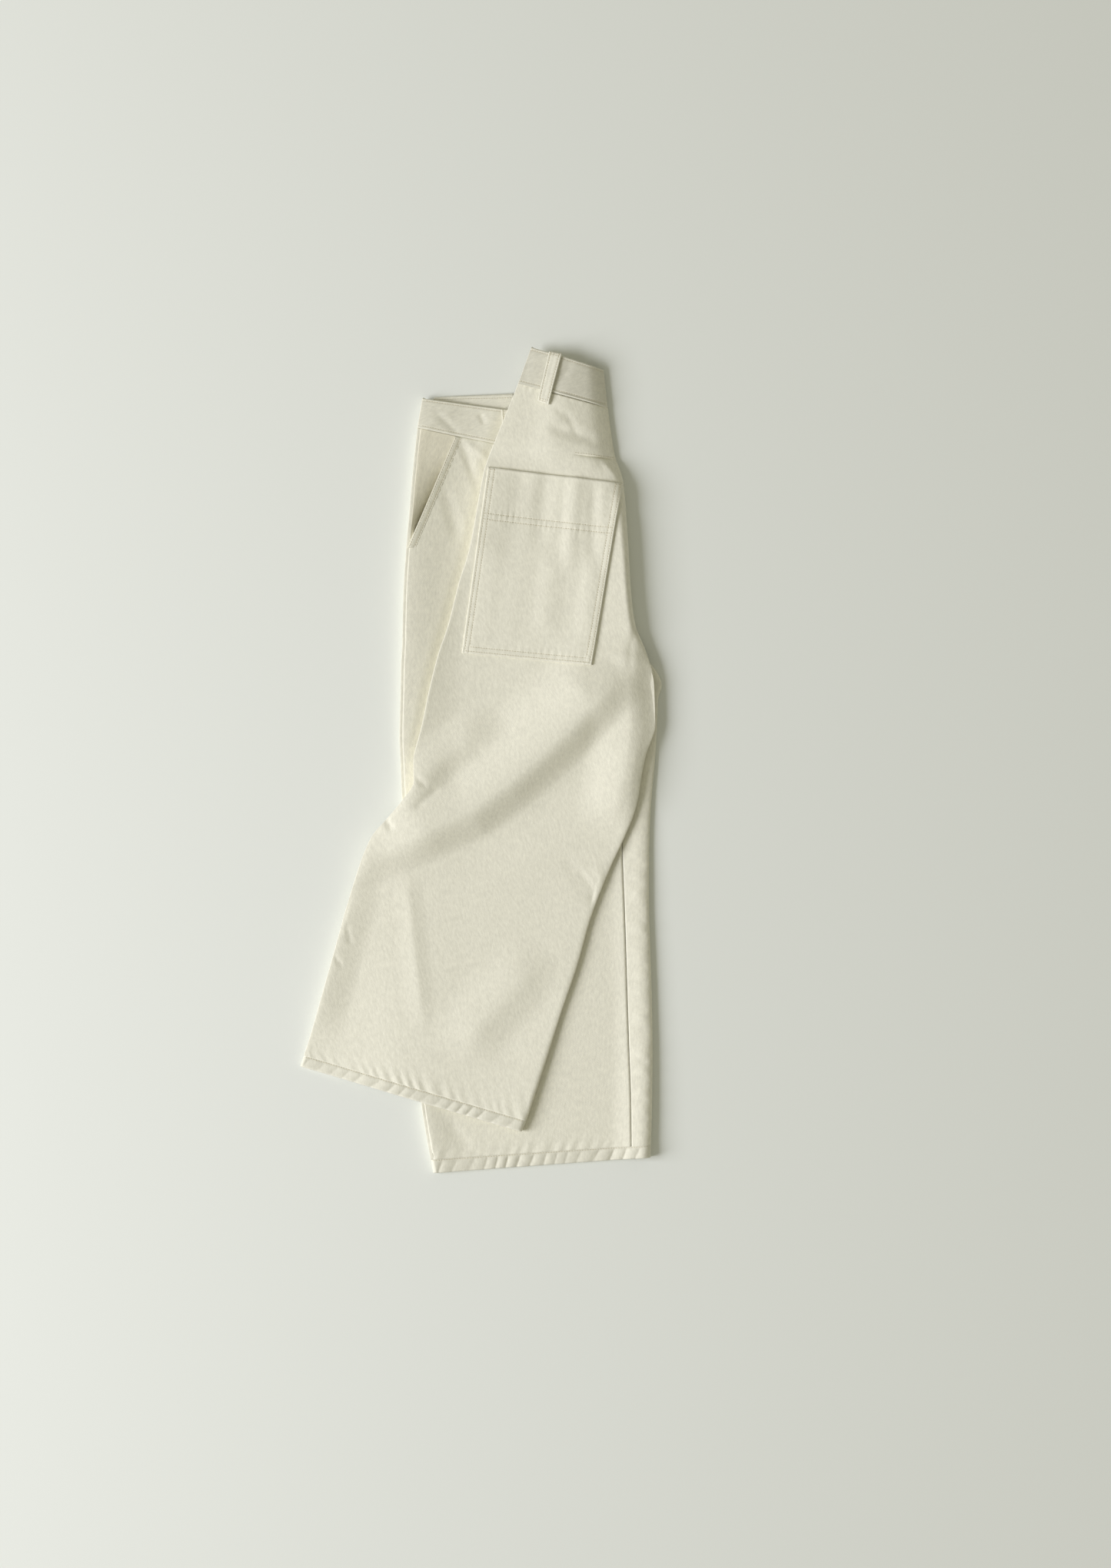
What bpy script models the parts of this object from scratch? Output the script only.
"""Wide-legged, cropped denim trousers, folded lengthwise along the seat and laid flat on the floor.

The right leg lies below with its front up, and the left leg lies across it with its back up. +X runs
from the outer side seam to the seat fold, +Y from the hems to the waist, and +Z up from the floor. Every
panel is an open surface through sections, given thickness by Solidify towards its inner side.
"""

import math
from collections import namedtuple

import bmesh
import bpy
from mathutils import Vector

# Lengths in the tables and in the functions are millimetres, and MM turns them into metres
MM = 0.001
CLOTH = 1.5
DOUBLED = 2.2
BAND = 2.6
SEAM = 0.3
LAID_ON = 0.7
POCKET_OUT = 1.1
STEP = 1.2

# The right leg, from the top of its waistband to the hem: the ends of each section, the front panel's
# inseam, and the height of the upper face near the left edge, in the middle and near the right edge
Lower = namedtuple("Lower", "left_x left_y right_x right_y inseam_x left_z mid_z right_z")
LOWER = [
    Lower(-74, 473, 126, 448, 96, 9.5, 6.0, 5.0),
    Lower(-80.5, 432.5, 138, 389.5, 108, 12, 5.5, 5.0),
    Lower(-87, 371.5, 156, 339.5, 126, 13, 5.0, 5.0),
    Lower(-91, 324.5, 161, 299.5, 131, 14, 5.0, 5.0),
    Lower(-95, 277.5, 166, 254.5, 136, 14.5, 5.0, 5.0),
    Lower(-99, 214.5, 171, 199.5, 141, 14.5, 5.0, 5.0),
    Lower(-100.5, 149.5, 176, 149.5, 146, 14, 5.0, 5.0),
    Lower(-102, 123.5, 224, 123.5, 172, 13, 5.0, 8.0),
    Lower(-102.5, 98.5, 236.5, 98.5, 177, 12.5, 5.0, 9.0),
    Lower(-103, 79.5, 232, 79.5, 178, 12, 5.0, 8.5),
    Lower(-104, 32.5, 230, 32.5, 180, 11, 5.0, 8.0),
    Lower(-102.5, -8.5, 227, -8.5, 181, 10, 5.0, 8.5),
    Lower(-101, -45.5, 223.5, -45.5, 182.5, 9, 5.0, 9.0),
    Lower(-98, -110.5, 220.5, -105.5, 184.8, 7, 5.0, 9.5),
    Lower(-93, -190.5, 220, -180.5, 188, 7, 5.0, 11),
    Lower(-87, -310.5, 223.5, -300.5, 191.8, 7, 5.5, 12.5),
    Lower(-81, -390.5, 224.7, -375.5, 194.2, 7, 6.0, 14),
    Lower(-75, -450.5, 224, -440.5, 196.5, 8, 6.5, 15.5),
    Lower(-63.5, -518.5, 222.5, -499.5, 197, 8, 6.5, 16.5),
    Lower(-60.2, -536.2, 222, -515.5, 195.5, 8, 6.5, 17),
]
LOWER_BAND_TOP, LOWER_WAIST, LOWER_STITCH, LOWER_HEM = 0, 1, 18, 19

# The left leg, from the top of its waistband to the hem: the ends of each section, the height of the upper
# face above what it lies on at five places across, how far its edges round over, and how far down the
# right edge goes, from 0 on the right leg to 1 on the floor
Upper = namedtuple(
    "Upper",
    "left_x left_y right_x right_y rise_0 rise_1 rise_2 rise_3 rise_4 round_l round_r drop",
)
UPPER = [
    Upper(67, 536, 161, 507.5, 5.5, 8.5, 12.5, 10.0, 2.0, 3.4, 20, 1.0),
    Upper(50, 489, 166.5, 458.5, 7.5, 10, 14.5, 12.0, 2.5, 3.4, 22, 1.0),
    Upper(24, 423.5, 175, 399.5, 10.5, 12.5, 16.5, 14.0, 3.0, 3.4, 24, 1.0),
    Upper(7.4, 380.5, 186, 363.5, 10.5, 11, 12.5, 15, 13.5, 3.4, 19, 1.0),
    Upper(-13, 274.5, 192.5, 289.5, 10.5, 9.0, 9.5, 13.5, 18, 3.4, 11, 1.0),
    Upper(-27, 229.5, 197, 214.5, 10.5, 8.6, 9.0, 12.5, 17.5, 3.4, 9, 1.0),
    Upper(-41, 174.5, 202, 177.5, 10.5, 8.6, 9.0, 12.5, 17, 3.4, 10, 1.0),
    Upper(-53, 139.5, 217, 138.5, 10, 8.0, 9.0, 12.0, 10, 3.4, 22, 0.2),
    Upper(-64, 96.5, 227, 99.5, 9.5, 7.2, 9.0, 11.0, 4.0, 3.4, 24, 0.0),
    Upper(-75, 44.5, 228.6, 49.5, 9.0, 7.0, 7.5, 8.5, 5.5, 3.4, 20, 0.0),
    Upper(-85.5, -0.5, 216, 7.5, 9.5, 6.5, 6.5, 8.0, 8.0, 3.4, 16, 0.0),
    Upper(-85, -27.5, 210, -20.5, 9.0, 6.5, 6.5, 7.5, 8.5, 3.4, 15, 0.0),
    Upper(-99, -50.5, 206, -47.5, 9.0, 7.0, 6.5, 7.0, 8.0, 3.4, 13, 0.0),
    Upper(-119, -74.5, 200, -70.5, 8.0, 7.0, 6.5, 6.5, 7.4, 3.4, 11, 0.0),
    Upper(-139, -97.5, 185, -106.5, 6.5, 6.0, 6.2, 6.2, 7.5, 3.4, 9, 0.0),
    Upper(-150, -120.5, 171, -136.5, 5.5, 5.6, 6.0, 6.0, 7.0, 3.4, 9, 0.0),
    Upper(-172, -187.5, 144, -205.5, 6.0, 5.0, 6.0, 6.0, 7.0, 3.4, 8, 0.0),
    Upper(-187.7, -244.5, 127, -265.5, 6.0, 5.0, 6.0, 6.0, 7.2, 3.4, 8, 0.0),
    Upper(-203, -298.5, 106, -327.5, 6.0, 5.2, 6.0, 6.0, 7.6, 3.4, 8, 0.0),
    Upper(-216.6, -346.5, 86, -390.5, 6.6, 5.6, 6.2, 6.4, 8.6, 3.4, 7, 0.0),
    Upper(-228.5, -383.5, 60.5, -467.5, 7.0, 6.2, 6.4, 7.2, 10, 3.4, 6, 0.0),
    Upper(-233.5, -397.5, 54.5, -481.5, 6.6, 6.2, 6.4, 7.4, 10.5, 3.4, 6, 0.0),
]
UPPER_BAND_TOP, UPPER_WAIST, UPPER_STITCH, UPPER_HEM = 0, 1, 20, 21
RISE_AT = (0.0, 0.25, 0.5, 0.75, 1.0)

# Folds of the left leg, each a ridge or a trough along a line from its start to its end, with its height
# and its half widths to the left and to the right of that line
Fold = namedtuple("Fold", "start_x start_y end_x end_y height left_side right_side")
FOLDS = [
    Fold(5, 378, -16, 262, 4.5, 40, 62),
    Fold(88, 372, 76, 282, -1.0, 16, 20),
    Fold(124, 366, 116, 252, 1.8, 16, 16),
    Fold(150, 352, 146, 262, -1.8, 14, 14),
    Fold(96, 262, 84, 168, 1.5, 22, 24),
    Fold(150, 250, 138, 150, 1.6, 20, 18),
    Fold(112, -126, 146, -182, -0.6, 14, 12),
    Fold(94, 430, 150, 416, -2.0, 12, 12),
]

# Creases of the left leg, each a ridge or a trough along a bent path, with its height, its half widths to the
# left and to the right of the path, and how sharp its line is, from 0 for a soft wave to 1 for a crease
Crease = namedtuple("Crease", "path height left_side right_side sharp")
CREASE_RAMP = 70
FOLD_PATH = ((178, 104), (117, 42), (73, 1), (36, -31), (-11, -65), (-64, -90))
MAIN_CREASES = [
    Crease((*FOLD_PATH, (-106, -108), (-190, -142)), 9.5, 88, 42, 0.0),
    Crease((*FOLD_PATH, (-110, -110)), 6.5, 84, 42, 0.0),
    Crease(((160, 16), (121, -29), (76, -69), (26, -99), (-34, -132)), -1.6, 24, 60, 0.0),
    Crease(((16, 46), (-14, 29), (-46, 5), (-74, -22), (-92, -38), (-108, -56)), 7.0, 40, 32, 0.0),
    Crease(((189, 150), (195, 90), (196, 40), (188, -12), (180, -45), (170, -85)), 8.0, 54, 36, 0.1),
    Crease(((78, -257), (43, -297), (3, -337), (-27, -377)), 4.4, 56, 36, 0.0),
    Crease(((-158, -132), (-172, -190), (-189, -245), (-203, -300), (-218, -352)), 5.0, 24, 42, 0.0),
    Crease(((-124, -71), (-112, -91)), -2.4, 8, 6, 0.9),
    Crease(((-85, -20), (-68, -34)), -1.6, 8, 8, 0.7),
    Crease(((-94, -148), (-84, -250), (-73, -345)), 2.0, 26, 22, 0.6),
]

# Sewn-on pieces, as corners on the upper face: top left, top right, bottom right and bottom left
Corners = namedtuple("Corners", "top_left top_right bottom_right bottom_left")
BACK_POCKET = Corners((12.5, 379.5), (179.5, 359), (145.5, 123), (-22.5, 139.5))
BACK_LOOP = Corners((90.7, 529.5), (107.3, 526.0), (90, 460.2), (75.6, 465.5))
SLANT_TOP = (-32, 421)
SLANT_END = (-94, 275.5)
SLANT_EDGE_WIDTH = 8.2
FACING_UNDER = 14
SIDE_SEAM_IN = 4.3
SEAM_ROUND = 1.5
LOOP_FRONT_LEFT = 28.5
LOOP_WIDTH = 16
LOOP_ARCH = 1.2
FRONT_BAND_LENGTH = 130
FRONT_BAND_TRIM = 3.4
UNDER_BAND_TOP = ((-59, 472), (44, 477))
UNDER_BAND_LENGTH = 132

# Ridges along the edges of the left leg, and how far the drape of the layers reaches in from an edge
LEFT_RIDGE = 80
RIGHT_RIDGE = 54
DRAPE = 130
DRAPE_FROM = 10
BAND_BELOW_Y = 392

# Rounded edges: points over and under an edge, how far its underside tucks in, and the share of its height at
# which it stands out most
SIDE_SHARE = 0.45
LOWER_ROUND_L, LOWER_ROUND_R, LOWER_CURL = 3.6, 18, 6
LOWER_TURNS_L = 3
UPPER_TURNS_L, UPPER_TURNS_R = 3, 5
UPPER_UNDER_L, UPPER_UNDER_R = 2, 3
SEAT_CURL = 9
EDGE_CURL = 5
FRONT_GAP = 0.9
UPPER_ROWS = 40
UPPER_COLUMNS = 17

# The hidden layers: how far they stay inside the panels, their columns, and the steps at their edges
HIDDEN_INSET = 11
NEARBY = ((0, 0), (9, 0), (-9, 0), (0, 9), (0, -9))
HIDDEN_COLUMNS = 8
HIDDEN_BELOW = 1.8
LAYERS = 4
LAYER_STEP = 1.6

# Puckers of the hems
HEM_PUCKERS = 14
PUCKER_HEIGHT = 0.9

# Colours of the undyed cotton
ECRU = (0.70, 0.67, 0.56, 1.0)
ECRU_SHADED = (0.60, 0.56, 0.45, 1.0)


def smooth(value):
    """A soft step from 0 to 1."""
    value = min(max(value, 0.0), 1.0)
    return value * value * (3 - 2 * value)


def slopes(places, heights):
    """The slopes of a curve through the heights that never overshoots them."""
    steps = [(heights[i + 1] - heights[i]) / (places[i + 1] - places[i]) for i in range(len(places) - 1)]
    inner = [
        0.0 if before * after <= 0 else 2 * before * after / (before + after)
        for before, after in zip(steps, steps[1:])
    ]
    return [steps[0]] + inner + [steps[-1]]


def curve(places, heights, at):
    """The height at a place on the smooth curve through the heights."""
    at = min(max(at, places[0]), places[-1])
    i = 0
    while i < len(places) - 2 and at > places[i + 1]:
        i += 1
    slope = slopes(places, heights)
    span = places[i + 1] - places[i]
    t = (at - places[i]) / span
    return (
        (2 * t**3 - 3 * t**2 + 1) * heights[i]
        + (t**3 - 2 * t**2 + t) * span * slope[i]
        + (3 * t**2 - 2 * t**3) * heights[i + 1]
        + (t**3 - t**2) * span * slope[i + 1]
    )


class Table:
    """Sections along a leg, read at any place between the rows."""

    def __init__(self, rows):
        self.kind = type(rows[0])
        self.places = list(range(len(rows)))
        self.columns = [[float(row[k]) for row in rows] for k in range(len(rows[0]))]
        self.slopes = [slopes(self.places, column) for column in self.columns]

    def at(self, place):
        """The section at a place, where whole numbers are the rows."""
        last = len(self.places) - 1
        i = min(max(int(math.floor(place)), 0), last - 1)
        t = place - i
        a = 2 * t**3 - 3 * t**2 + 1
        b = t**3 - 2 * t**2 + t
        c = 3 * t**2 - 2 * t**3
        d = t**3 - t**2
        return self.kind(*(
            a * column[i] + b * slope[i] + c * column[i + 1] + d * slope[i + 1]
            for column, slope in zip(self.columns, self.slopes)
        ))


lower_table = Table(LOWER)
upper_table = Table(UPPER)
LOWER_Y = [-row.left_y for row in LOWER]
LOWER_LEFT = [row.left_x for row in LOWER]
LOWER_LEFT_Z = [row.left_z for row in LOWER]
LOWER_MID_Z = [row.mid_z for row in LOWER]
LOWER_RIGHT_Y = [-row.right_y for row in LOWER]
LOWER_RIGHT = [row.right_x for row in LOWER]
LOWER_RIGHT_Z = [row.right_z for row in LOWER]


def across(section, inward):
    """A point of a section's line, a distance in from its left end, or in from its right end if negative."""
    left = Vector((section.left_x, section.left_y))
    right = Vector((section.right_x, section.right_y))
    along = (right - left).normalized()
    return left + along * inward if inward >= 0 else right + along * inward


def width(section):
    """The length of a section's line."""
    return math.hypot(section.right_x - section.left_x, section.right_y - section.left_y)


def lower_height(section, inward):
    """The height of the right leg's upper face, away from its rounded edges."""
    from_left = section.left_z - section.mid_z
    from_right = section.right_z - section.mid_z
    return (
        section.mid_z
        + from_left * (1 - smooth(inward / LEFT_RIDGE))
        + from_right * (1 - smooth((width(section) - inward) / RIGHT_RIDGE))
    )


def rest_height(x, y):
    """The height of what the left leg lies on: the right leg, or the floor beyond its left edge."""
    edge = curve(LOWER_Y, LOWER_LEFT, -y)
    ridge = curve(LOWER_Y, LOWER_LEFT_Z, -y)
    mid = curve(LOWER_Y, LOWER_MID_Z, -y)
    inward = x - edge
    over_band = 1.8 * smooth((y - BAND_BELOW_Y) / 16)
    if inward >= 0:
        right_edge = curve(LOWER_RIGHT_Y, LOWER_RIGHT, -y)
        right_ridge = curve(LOWER_RIGHT_Y, LOWER_RIGHT_Z, -y)
        by_left = (ridge - mid) * (1 - smooth(inward / LEFT_RIDGE))
        by_right = (right_ridge - mid) * (1 - smooth((right_edge - x) / RIGHT_RIDGE))
        return mid + by_left + by_right + STEP + over_band
    return (ridge + STEP) * smooth(1 + (inward + DRAPE_FROM) / DRAPE)


def fold_height(x, y):
    """What the folds add to the left leg's upper face at a point."""
    total = 0.0
    for fold in FOLDS:
        along = Vector((fold.end_x - fold.start_x, fold.end_y - fold.start_y))
        length = along.length
        along /= length
        away = Vector((x - fold.start_x, y - fold.start_y))
        run = away.dot(along) / length
        side = away.x * along.y - away.y * along.x
        if run <= -0.15 or run >= 1.15:
            continue
        fade = smooth((run + 0.15) / 0.35) * smooth((1.15 - run) / 0.35)
        reach = fold.left_side if side > 0 else fold.right_side
        total += fold.height * fade * (1 - smooth(abs(side) / reach))
    return total


def nearest_on(path, x, y):
    """The distance of a point from a path, its side of it, and how far along the path it lies."""
    found = (1e9, 0.0, 0.0)
    run = 0.0
    last = len(path) - 2
    for k, (start, end) in enumerate(zip(path, path[1:])):
        along = Vector((end[0] - start[0], end[1] - start[1]))
        length = along.length
        along /= length
        away = Vector((x - start[0], y - start[1]))
        on_line = away.dot(along)
        side = away.x * along.y - away.y * along.x
        kept = on_line
        if k > 0:
            kept = max(kept, 0.0)
        if k < last:
            kept = min(kept, length)
        distance = math.hypot(side, on_line - kept)
        if distance < found[0]:
            found = (distance, side, run + kept)
        run += length
    return found, run


def crease_height(x, y):
    """What the creases add to the left leg's upper face at a point."""
    total = 0.0
    for crease in MAIN_CREASES:
        (distance, side, along), length = nearest_on(crease.path, x, y)
        near = min(distance / (crease.left_side if side > 0 else crease.right_side), 1.0)
        if near >= 1.0:
            continue
        ramp = min(0.4, CREASE_RAMP / length)
        share = along / length
        fade = smooth(share / ramp + 0.3) * smooth((1 - share) / ramp + 0.3)
        soft = 1 - smooth(near)
        total += crease.height * fade * (soft + crease.sharp * ((1 - near) ** 2 - soft))
    return total


def upper_height(section, inward):
    """The height of the left leg's upper face, away from its rounded edges."""
    point = across(section, max(inward, 0.001))
    rises = [section.rise_0, section.rise_1, section.rise_2, section.rise_3, section.rise_4]
    return (
        rest_height(point.x, point.y)
        + curve(RISE_AT, rises, inward / width(section))
        + fold_height(point.x, point.y)
        + crease_height(point.x, point.y)
    )


def rounded_edge(height_at, reach, low, curl, turns, under):
    """Points of an edge that rounds over, from the upper face to under the edge, as (inward, height)."""
    side = low + SIDE_SHARE * (height_at(0.0) - low)
    over = []
    for k in range(turns + 1):
        angle = math.pi / 2 * (1 - k / turns)
        inward = reach * (1 - math.cos(angle))
        over.append((inward, side + (height_at(inward) - side) * math.sin(angle)))
    for k in range(1, under + 1):
        angle = math.pi / 2 * k / under
        over.append((curl * (1 - math.cos(angle)), side - (side - low) * math.sin(angle)))
    return over


def face_point(section, inward, from_right, height):
    """A point in space from a distance in from one end of a section."""
    point = across(section, -inward if from_right and inward > 0 else inward)
    if from_right and inward <= 0:
        point = Vector((section.right_x, section.right_y))
    return (point.x, point.y, height)


def upper_row(place, columns, lift=0.0):
    """One row of the left leg's back: up over the left edge, across, and down round the right edge."""
    section = upper_table.at(place)
    total = width(section)

    def from_left(inward):
        return upper_height(section, inward) + lift

    def from_right(inward):
        return upper_height(section, total - inward) + lift

    left = across(section, 0.001)
    right = across(section, total)
    under_left = across(section, EDGE_CURL + 3)
    low_l = max(rest_height(left.x, left.y), rest_height(under_left.x, under_left.y)) + CLOTH + FRONT_GAP
    on_lower = rest_height(right.x, right.y) + 3.0
    low_r = on_lower + (0.4 - on_lower) * section.drop
    curl_r = EDGE_CURL + (SEAT_CURL - EDGE_CURL) * section.drop
    left_edge = rounded_edge(from_left, section.round_l, low_l, EDGE_CURL, UPPER_TURNS_L, UPPER_UNDER_L)
    right_edge = rounded_edge(from_right, section.round_r, low_r, curl_r, UPPER_TURNS_R, UPPER_UNDER_R)
    row = [face_point(section, inward, False, height) for inward, height in reversed(left_edge)]
    start = section.round_l
    end = total - section.round_r
    for k in range(1, columns):
        inward = start + (end - start) * k / columns
        row.append(face_point(section, inward, False, from_left(inward)))
    row += [face_point(section, inward, True, height) for inward, height in right_edge]
    return row


def upper_place(x, y):
    """The section of the left leg that a point lies on, and its distance in from the left end."""
    low, high = 0.0, float(len(UPPER) - 1)
    for _ in range(28):
        middle = (low + high) / 2
        section = upper_table.at(middle)
        line = Vector((section.right_x - section.left_x, section.right_y - section.left_y))
        away = Vector((x - section.left_x, y - section.left_y))
        if line.x * away.y - line.y * away.x < 0:
            low = middle
        else:
            high = middle
    section = upper_table.at(low)
    return section, Vector((x - section.left_x, y - section.left_y)).length


def upper_face(x, y):
    """The height of the left leg's upper face at a point, with its rounded right edge."""
    section, inward = upper_place(x, y)
    total = width(section)
    height = upper_height(section, inward)
    for distance, reach in ((total - inward, section.round_r), (inward, section.round_l)):
        if distance < reach:
            low = 0.4 if section.drop > 0.5 and reach == section.round_r else rest_height(x, y) + 2.0
            side = low + SIDE_SHARE * (height - low)
            height = side + (height - side) * math.sqrt(max(0.0, 1 - (1 - distance / reach) ** 2))
    return height


def lower_face(x, y):
    """The height of the right leg's upper face at a point near its left edge."""
    edge = curve(LOWER_Y, LOWER_LEFT, -y)
    ridge = curve(LOWER_Y, LOWER_LEFT_Z, -y)
    mid = curve(LOWER_Y, LOWER_MID_Z, -y)
    return mid + (ridge - mid) * (1 - smooth((x - edge) / LEFT_RIDGE))


def moved_out(face, x, y, away):
    """A point of an upper face, moved out along the face's normal."""
    reach = 0.8
    slope_x = (face(x + reach, y) - face(x - reach, y)) / (2 * reach)
    slope_y = (face(x, y + reach) - face(x, y - reach)) / (2 * reach)
    normal = Vector((-slope_x, -slope_y, 1)).normalized()
    base = Vector((x, y, face(x, y)))
    return tuple(base + normal * away)


def between(a, b, t):
    """A point part of the way from one to the other."""
    return tuple(p + (q - p) * t for p, q in zip(a, b))


def patch_rows(face, corners, rows, columns, away, arch=0.0):
    """Rows of a piece that lies on a face, from its four corners."""
    grid = []
    for i in range(rows + 1):
        left = between(corners.top_left, corners.bottom_left, i / rows)
        right = between(corners.top_right, corners.bottom_right, i / rows)
        row = []
        for k in range(columns + 1):
            x, y = between(left, right, k / columns)
            bulge = arch * math.sin(math.pi * i / rows)
            row.append(moved_out(face, x, y, away + bulge))
        grid.append(row)
    return grid


def material(name, colour):
    """A matt cotton cloth."""
    made = bpy.data.materials.new(name)
    made.use_nodes = True
    shader = made.node_tree.nodes["Principled BSDF"]
    shader.inputs["Base Color"].default_value = colour
    shader.inputs["Roughness"].default_value = 0.9
    shader.inputs["Metallic"].default_value = 0.0
    return made


def mesh_object(name, points, faces, colour, collection):
    """An object from points in millimetres."""
    mesh = bpy.data.meshes.new(name)
    mesh.from_pydata([tuple(c * MM for c in point) for point in points], [], faces)
    mesh.materials.append(material(name + "_cloth", colour))
    mesh.shade_smooth()
    made = bpy.data.objects.new(name, mesh)
    collection.objects.link(made)
    return made


def cloth(name, grid, thickness, collection, colour=ECRU, ring=False):
    """A wall of cloth through rows of points on its outer face, thickened towards the inside."""
    count = len(grid[0])
    points = [point for row in grid for point in row]
    faces = []
    for i in range(len(grid) - 1):
        for k in range(count if ring else count - 1):
            near = i * count + k
            next_near = i * count + (k + 1) % count
            faces.append((near, near + count, next_near + count, next_near))
    made = mesh_object(name, points, faces, colour, collection)
    wall = made.modifiers.new("wall", "SOLIDIFY")
    wall.thickness = thickness * MM
    wall.offset = -1
    return made


def places(start, end, steps):
    """Places along a leg, evenly between two rows."""
    return [start + (end - start) * k / steps for k in range(steps + 1)]


def along_leg(table, start, end, steps, trim_start=0.0, trim_end=0.0):
    """Places between two rows, evenly spaced in length, with the ends trimmed by a seam's gap."""
    fine = places(start, end, int(12 * (end - start)))
    middles = []
    for place in fine:
        section = table.at(place)
        middles.append(Vector((section.left_x + section.right_x, section.left_y + section.right_y)) / 2)
    run = [0.0]
    for before, after in zip(middles, middles[1:]):
        run.append(run[-1] + (after - before).length)
    wanted = [trim_start + (run[-1] - trim_start - trim_end) * k / steps for k in range(steps + 1)]
    found = []
    i = 0
    for length in wanted:
        while i < len(run) - 2 and run[i + 1] < length:
            i += 1
        found.append(fine[i] + (fine[i + 1] - fine[i]) * (length - run[i]) / (run[i + 1] - run[i]))
    return found


def make_left_leg_back(collection):
    """The upper wall of the left leg, from the waistband's seam to the hem's stitching."""
    stations = along_leg(upper_table, UPPER_WAIST, UPPER_STITCH, UPPER_ROWS, SEAM, SEAM)
    grid = [upper_row(place, UPPER_COLUMNS) for place in stations]
    return cloth("left_leg_back", grid, CLOTH, collection)


def make_left_leg_front(collection):
    """The wall under it, which lies on the right leg and on the floor."""
    grid = []
    for place in along_leg(upper_table, 2.4, UPPER_STITCH, 30, 0, SEAM):
        section = upper_table.at(place)
        total = width(section)
        reach = total - 8 if place > 13 else total * 0.8
        row = []
        for k in range(15):
            inward = 3 + (reach - 3) * k / 14
            point = across(section, inward)
            row.append((point.x, point.y, rest_height(point.x, point.y)))
        row.reverse()
        grid.append(row)
    return cloth("left_leg_front", grid, CLOTH, collection)


def make_waistband_back(collection):
    """The back waistband, doubled cloth a little proud of the panel."""
    stations = along_leg(upper_table, UPPER_BAND_TOP, UPPER_WAIST, 4, 0, SEAM)
    grid = [upper_row(place, UPPER_COLUMNS, lift=1.0) for place in stations]
    return cloth("waistband_back", grid, BAND, collection)


def lower_back_row(place, columns):
    """One row of the right leg's back: under the whole leg, and up round both edges."""
    section = lower_table.at(place)
    total = width(section)

    def from_left(inward):
        return lower_height(section, inward)

    def from_right(inward):
        return lower_height(section, total - inward)

    left_edge = rounded_edge(from_left, LOWER_ROUND_L, 0.0, LOWER_CURL, LOWER_TURNS_L, 2)
    right_edge = rounded_edge(from_right, LOWER_ROUND_R, 0.0, LOWER_CURL, 5, 2)
    row = []
    for k in range(3):
        inward = SIDE_SEAM_IN * (1 - k / 2)
        row.append(face_point(section, inward, False, front_height(section, inward)))
    under_edge = left_edge[LOWER_TURNS_L + 1:]
    row += [face_point(section, inward, False, height) for inward, height in under_edge]
    for k in range(1, columns):
        row.append(face_point(section, LOWER_CURL + (total - 2 * LOWER_CURL) * k / columns, False, 0.0))
    row += [face_point(section, inward, True, height) for inward, height in reversed(right_edge)]
    strip = section.right_x - section.inseam_x
    for k in range(1, 4):
        inward = LOWER_ROUND_R + (strip - LOWER_ROUND_R - SEAM) * k / 3
        row.append(face_point(section, inward, True, from_right(inward)))
    row.reverse()
    return row


def make_right_leg_back(collection):
    """The lower wall of the right leg, flat on the floor."""
    stations = along_leg(lower_table, LOWER_WAIST, LOWER_STITCH, 32, SEAM, SEAM)
    grid = [lower_back_row(place, 4) for place in stations]
    return cloth("right_leg_back", grid, CLOTH, collection)


def slant_inward(section):
    """How far in from the left edge the front panel starts, along the slant pocket."""
    y = section.left_y
    if y <= SLANT_END[1]:
        return SIDE_SEAM_IN + SEAM_ROUND
    share = (y - SLANT_END[1]) / (SLANT_TOP[1] - SLANT_END[1])
    x = SLANT_END[0] + (SLANT_TOP[0] - SLANT_END[0]) * share
    return max(x - section.left_x, SIDE_SEAM_IN + SEAM_ROUND)


def front_height(section, inward):
    """The height of the right leg's upper face, rounded over at its left edge."""
    height = lower_height(section, inward)
    if inward < LOWER_ROUND_L:
        side = SIDE_SHARE * lower_height(section, 0.0)
        height = side + (height - side) * math.sin(math.acos(1 - inward / LOWER_ROUND_L))
    return height


def make_right_leg_front(collection):
    """The upper wall of the right leg, from the side seam or the slant pocket to the inseam."""
    grid = []
    for place in along_leg(lower_table, LOWER_WAIST, LOWER_STITCH, 32, SEAM, SEAM):
        section = lower_table.at(place)
        start = slant_inward(section)
        end = width(section) - (section.right_x - section.inseam_x) - SEAM
        row = []
        for k in range(15):
            share = k / 14
            inward = start + (end - start) * (0.2 * share + 0.8 * share * share)
            row.append(face_point(section, inward, False, front_height(section, inward)))
        grid.append(row)
    return cloth("right_leg_front", grid, CLOTH, collection)


def make_facing(collection):
    """The facing that fills the slant pocket's opening, a wall's thickness lower than the front panel."""
    grid = []
    for place in along_leg(lower_table, LOWER_WAIST, 4, 12, SEAM, 8):
        section = lower_table.at(place)
        start = SIDE_SEAM_IN + SEAM_ROUND + 0.5
        end = slant_inward(section) + FACING_UNDER
        row = []
        for k in range(8):
            inward = start + (end - start) * k / 7
            lower_by = (CLOTH + LAID_ON) * smooth((inward - start + 3) / 6)
            row.append(face_point(section, inward, False, front_height(section, inward) - lower_by))
        grid.append(row)
    return cloth("front_pocket_facing", grid, 1.2, collection, ECRU_SHADED)


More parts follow.
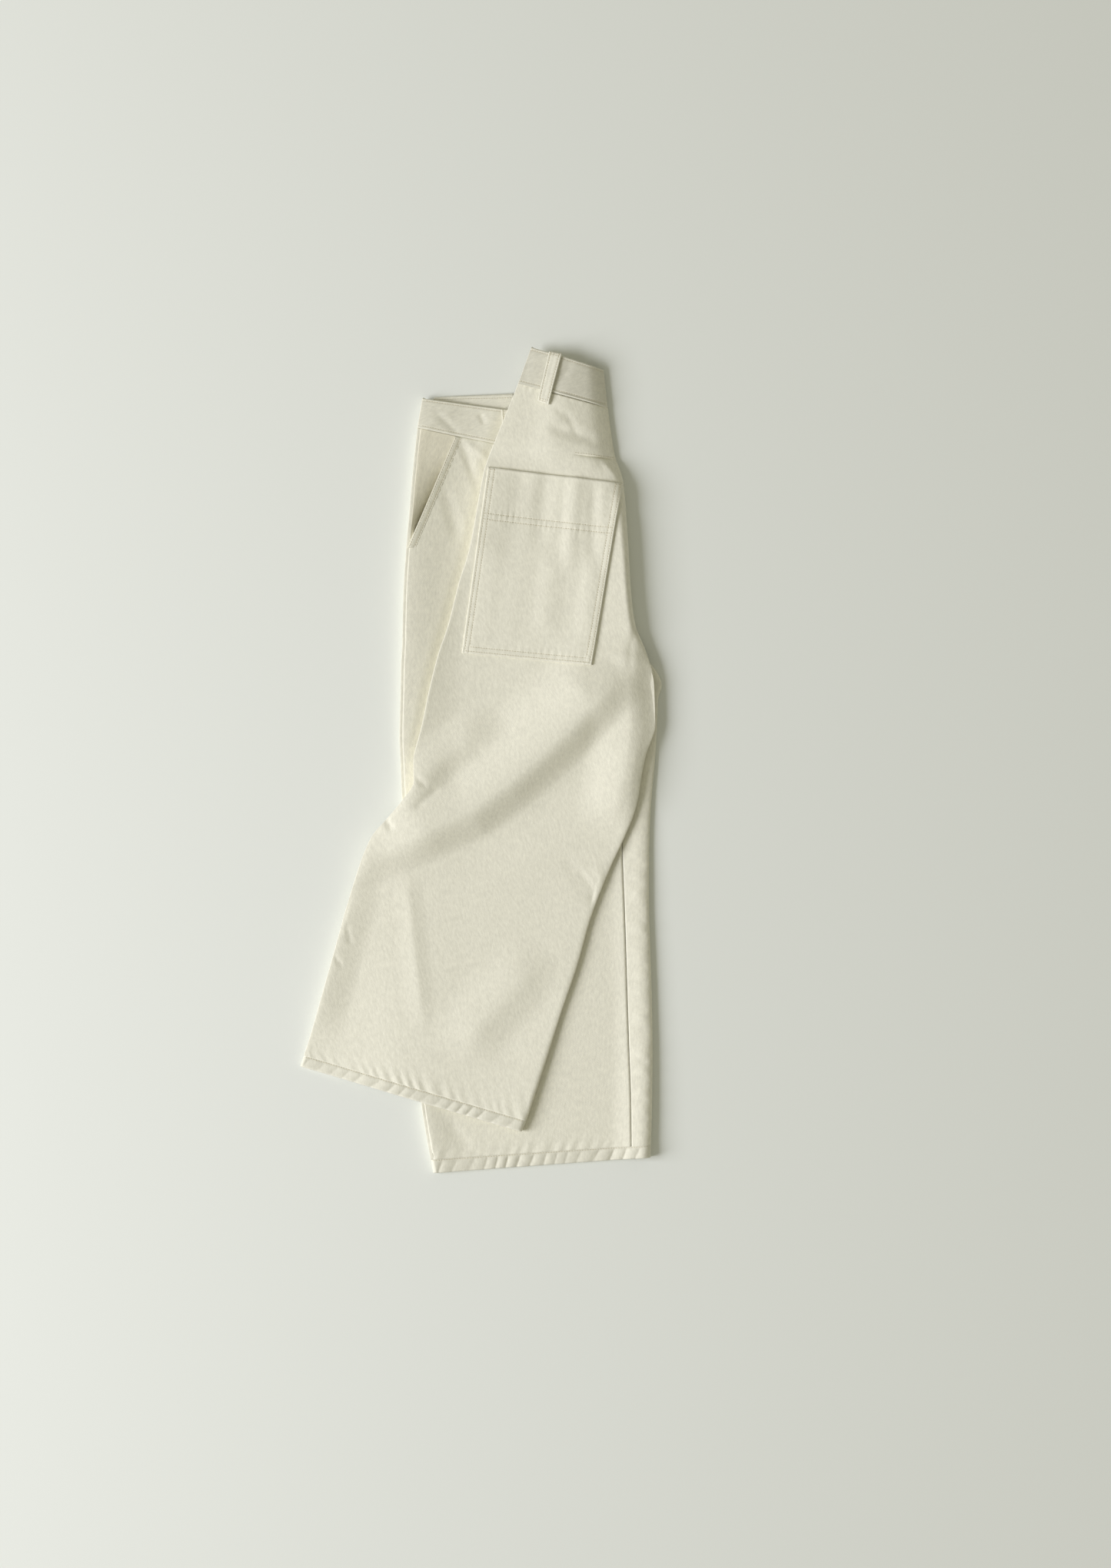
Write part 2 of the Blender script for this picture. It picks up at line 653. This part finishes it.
def make_slant_edge(collection):
    """The turned edge of the slant pocket, laid along the front panel's cut."""
    top_left = between(SLANT_TOP, SLANT_END, 0.02)
    bottom_left = between(SLANT_TOP, SLANT_END, 0.98)
    top_left = (top_left[0] + 0.6, top_left[1])
    bottom_left = (bottom_left[0] + 2.6, bottom_left[1])
    top_right = (top_left[0] + SLANT_EDGE_WIDTH * 1.16, top_left[1])
    bottom_right = (bottom_left[0] + SLANT_EDGE_WIDTH * 1.16, bottom_left[1])
    corners = Corners(top_left, top_right, bottom_right, bottom_left)
    return cloth(
        "front_pocket_edge", patch_rows(lower_face, corners, 16, 3, LAID_ON + 1.2), 1.2, collection
    )


def make_waistband_front(collection):
    """The front waistband of the right half, over the inner face of the back one."""
    grid = []
    low = BAND + SEAM
    for place in along_leg(lower_table, LOWER_BAND_TOP, LOWER_WAIST, 4, FRONT_BAND_TRIM, SEAM):
        section = lower_table.at(place)

        def height_at(inward):
            return lower_height(section, inward) + 1.2

        left_edge = rounded_edge(height_at, LOWER_ROUND_L, low, EDGE_CURL, 4, 2)
        row = [face_point(section, inward, False, height) for inward, height in reversed(left_edge)]
        for k in range(1, 13):
            inward = LOWER_ROUND_L + (FRONT_BAND_LENGTH - LOWER_ROUND_L) * k / 12
            row.append(face_point(section, inward, False, height_at(inward)))
        grid.append(row)
    return cloth("waistband_front", grid, BAND, collection)


def make_waistband_back_under(collection):
    """The back waistband of the lower half, flat on the floor, its top edge showing past the front one."""
    grid = []
    seam = lower_table.at(LOWER_WAIST)
    for i in range(5):
        row = []
        for k in range(9):
            top = between(UNDER_BAND_TOP[0], UNDER_BAND_TOP[1], k / 8)
            bottom_start = across(seam, 3)
            bottom_end = across(seam, 3 + UNDER_BAND_LENGTH)
            bottom = between(tuple(bottom_start), tuple(bottom_end), k / 8)
            point = between(top, (bottom[0], bottom[1] + SEAM), i / 4)
            row.append((point[0], point[1], 0.0))
        row.reverse()
        grid.append(row)
    return cloth("waistband_back_under", grid, BAND, collection)


def pucker(share, first):
    """The height of a hem's puckers at a share of its width."""
    wave = math.sin(2 * math.pi * (HEM_PUCKERS * share + 0.25 * math.sin(9 * share + first)))
    return PUCKER_HEIGHT * wave * smooth(share / 0.06) * smooth((1 - share) / 0.06)


def hem_ring(section, height_at, under_at, reach_l, reach_r, top_columns, under_columns):
    """A closed ring round a leg's end: over the top, round both edges, and back underneath."""
    total = width(section)
    left = rounded_edge(height_at, reach_l, under_at(0.0), 4, 3, 2)
    right = rounded_edge(lambda inward: height_at(total - inward), reach_r, under_at(total), 4, 3, 2)
    ring = [face_point(section, inward, False, height) for inward, height in reversed(left)]
    for k in range(1, top_columns):
        inward = reach_l + (total - reach_l - reach_r) * k / top_columns
        ring.append(face_point(section, inward, False, height_at(inward)))
    ring += [face_point(section, inward, True, height) for inward, height in right]
    for k in range(1, under_columns):
        inward = total - 4 - (total - 8) * k / under_columns
        ring.append(face_point(section, inward, False, under_at(inward)))
    return ring


def make_left_hem(collection):
    """The hem of the left leg."""
    grid = []
    for i, place in enumerate(along_leg(upper_table, UPPER_STITCH, UPPER_HEM, 2, 0, 0)):
        section = upper_table.at(place)
        total = width(section)
        swell = (0.25, 1.0, 0.8)[i]

        def height_at(inward):
            return upper_height(section, inward) + swell * pucker(inward / total, 1.0)

        def under_at(inward):
            point = across(section, max(inward, 0.001))
            return rest_height(point.x, point.y)

        grid.append(hem_ring(section, height_at, under_at, 4, 6, 56, 12))
    return cloth("left_hem", grid, DOUBLED, collection, ring=True)


def make_right_hem(collection):
    """The hem of the right leg."""
    grid = []
    for i, place in enumerate(along_leg(lower_table, LOWER_STITCH, LOWER_HEM, 2, 0, 0)):
        section = lower_table.at(place)
        total = width(section)
        swell = (0.25, 1.0, 0.8)[i]

        def height_at(inward):
            return lower_height(section, inward) + swell * pucker(inward / total, 3.0)

        grid.append(hem_ring(section, height_at, lambda inward: 0.0, 4.5, 14, 56, 4))
    return cloth("right_hem", grid, DOUBLED, collection, ring=True)


def make_back_pocket(collection):
    """The patch pocket, moved out from the back panel."""
    grid = patch_rows(upper_face, BACK_POCKET, 14, 13, POCKET_OUT + CLOTH)
    return cloth("back_pocket", grid, CLOTH, collection)


def make_back_loop(collection):
    """The belt loop over the back waistband."""
    grid = patch_rows(upper_face, BACK_LOOP, 8, 4, 1.0 + LAID_ON + CLOTH, LOOP_ARCH)
    return cloth("belt_loop_back", grid, CLOTH, collection)


def make_front_loop(collection):
    """The belt loop of the front waistband, mostly under the left leg's edge."""
    grid = []
    for i in range(6):
        y = 456 - 44 * i / 5
        row = []
        for k in range(4):
            x = LOOP_FRONT_LEFT + LOOP_WIDTH * k / 3 + 1.5 * i / 5
            row.append((x, y, lower_face(x, y) + 1.2 + SEAM + CLOTH + 0.3 * math.sin(math.pi * i / 5)))
        grid.append(row)
    return cloth("belt_loop_front", grid, CLOTH, collection)


def hidden_row(place):
    """One ring of the folded layers: flat below, stepped at its sides like stacked cloth, rounded above."""
    section = upper_table.at(place)
    total = width(section)
    lower_right = curve(LOWER_Y, [row.right_x for row in LOWER], -section.right_y)
    left = HIDDEN_INSET
    right = total - HIDDEN_INSET - 0.35 * section.round_r
    on_floor = place <= UPPER_WAIST + 0.001
    beyond = section.drop > 0.5 and not on_floor
    inner_end = min(right - 8, max(left + 20, lower_right + 4 - section.left_x))
    if not beyond:
        inner_end = right - 8
    ring = []
    for k in range(6):
        inward = left + (inner_end - left) * k / 5
        point = across(section, inward)
        height = 0.0 if on_floor else rest_height(point.x, point.y) + CLOTH + STEP
        ring.append((point.x, point.y, height))
    last = ring[-1][2]
    for inward in (inner_end + 1, right):
        point = across(section, inward)
        ring.append((point.x, point.y, 0.0 if beyond or on_floor else last))
    bottom_right = ring[-1][2]
    top = []
    for k in range(HIDDEN_COLUMNS + 1):
        inward = right - (right - left) * k / HIDDEN_COLUMNS
        point = across(section, inward)
        below = min(upper_face(point.x + dx, point.y + dy) for dx, dy in NEARBY)
        top.append([point.x, point.y, below - CLOTH - HIDDEN_BELOW])
    for inward, low, target in ((right, bottom_right, 0), (left, ring[0][2], HIDDEN_COLUMNS)):
        room = top[target][2] - low
        steps = []
        for k in range(LAYERS - 1):
            inset = inward - LAYER_STEP if inward == right else inward + LAYER_STEP
            notch = across(section, inset)
            edge = across(section, inward)
            level = low + room * (k + 1) / LAYERS
            steps.append((notch.x, notch.y, level))
            steps.append((edge.x, edge.y, level + room * 0.1))
        if inward == right:
            right_steps = steps
        else:
            left_steps = list(reversed(steps))
    ring += right_steps
    ring += [tuple(point) for point in top]
    ring += left_steps
    return ring


def make_hidden_layers(collection):
    """The layers folded away inside the seat and thigh, one closed solid."""
    stations = [0.1, 0.6, 1.0, 1.02] + places(1.5, 12.0, 20)
    grid = [hidden_row(place) for place in stations]
    count = len(grid[0])
    points = [point for row in grid for point in row]
    faces = []
    for i in range(len(grid) - 1):
        for k in range(count):
            near = i * count + k
            next_near = i * count + (k + 1) % count
            faces.append((near, near + count, next_near + count, next_near))
    for row, flip in ((0, False), (len(grid) - 1, True)):
        ends = [row * count + k for k in range(count)]
        faces.append(tuple(reversed(ends)) if flip else tuple(ends))
    made = mesh_object("hidden_layers", points, faces, ECRU_SHADED, collection)
    solid = bmesh.new()
    solid.from_mesh(made.data)
    bmesh.ops.triangulate(solid, faces=[face for face in solid.faces if len(face.verts) > 4])
    bmesh.ops.recalc_face_normals(solid, faces=solid.faces)
    solid.to_mesh(made.data)
    solid.free()
    return made


def main():
    """Builds the whole garment."""
    for old in list(bpy.data.objects):
        bpy.data.objects.remove(old)
    trousers = bpy.data.collections.new("denim_trousers")
    bpy.context.scene.collection.children.link(trousers)
    make_left_leg_back(trousers)
    make_left_leg_front(trousers)
    make_right_leg_front(trousers)
    make_right_leg_back(trousers)
    make_hidden_layers(trousers)
    make_waistband_back(trousers)
    make_waistband_front(trousers)
    make_waistband_back_under(trousers)
    make_back_pocket(trousers)
    make_facing(trousers)
    make_slant_edge(trousers)
    make_back_loop(trousers)
    make_front_loop(trousers)
    make_left_hem(trousers)
    make_right_hem(trousers)


main()
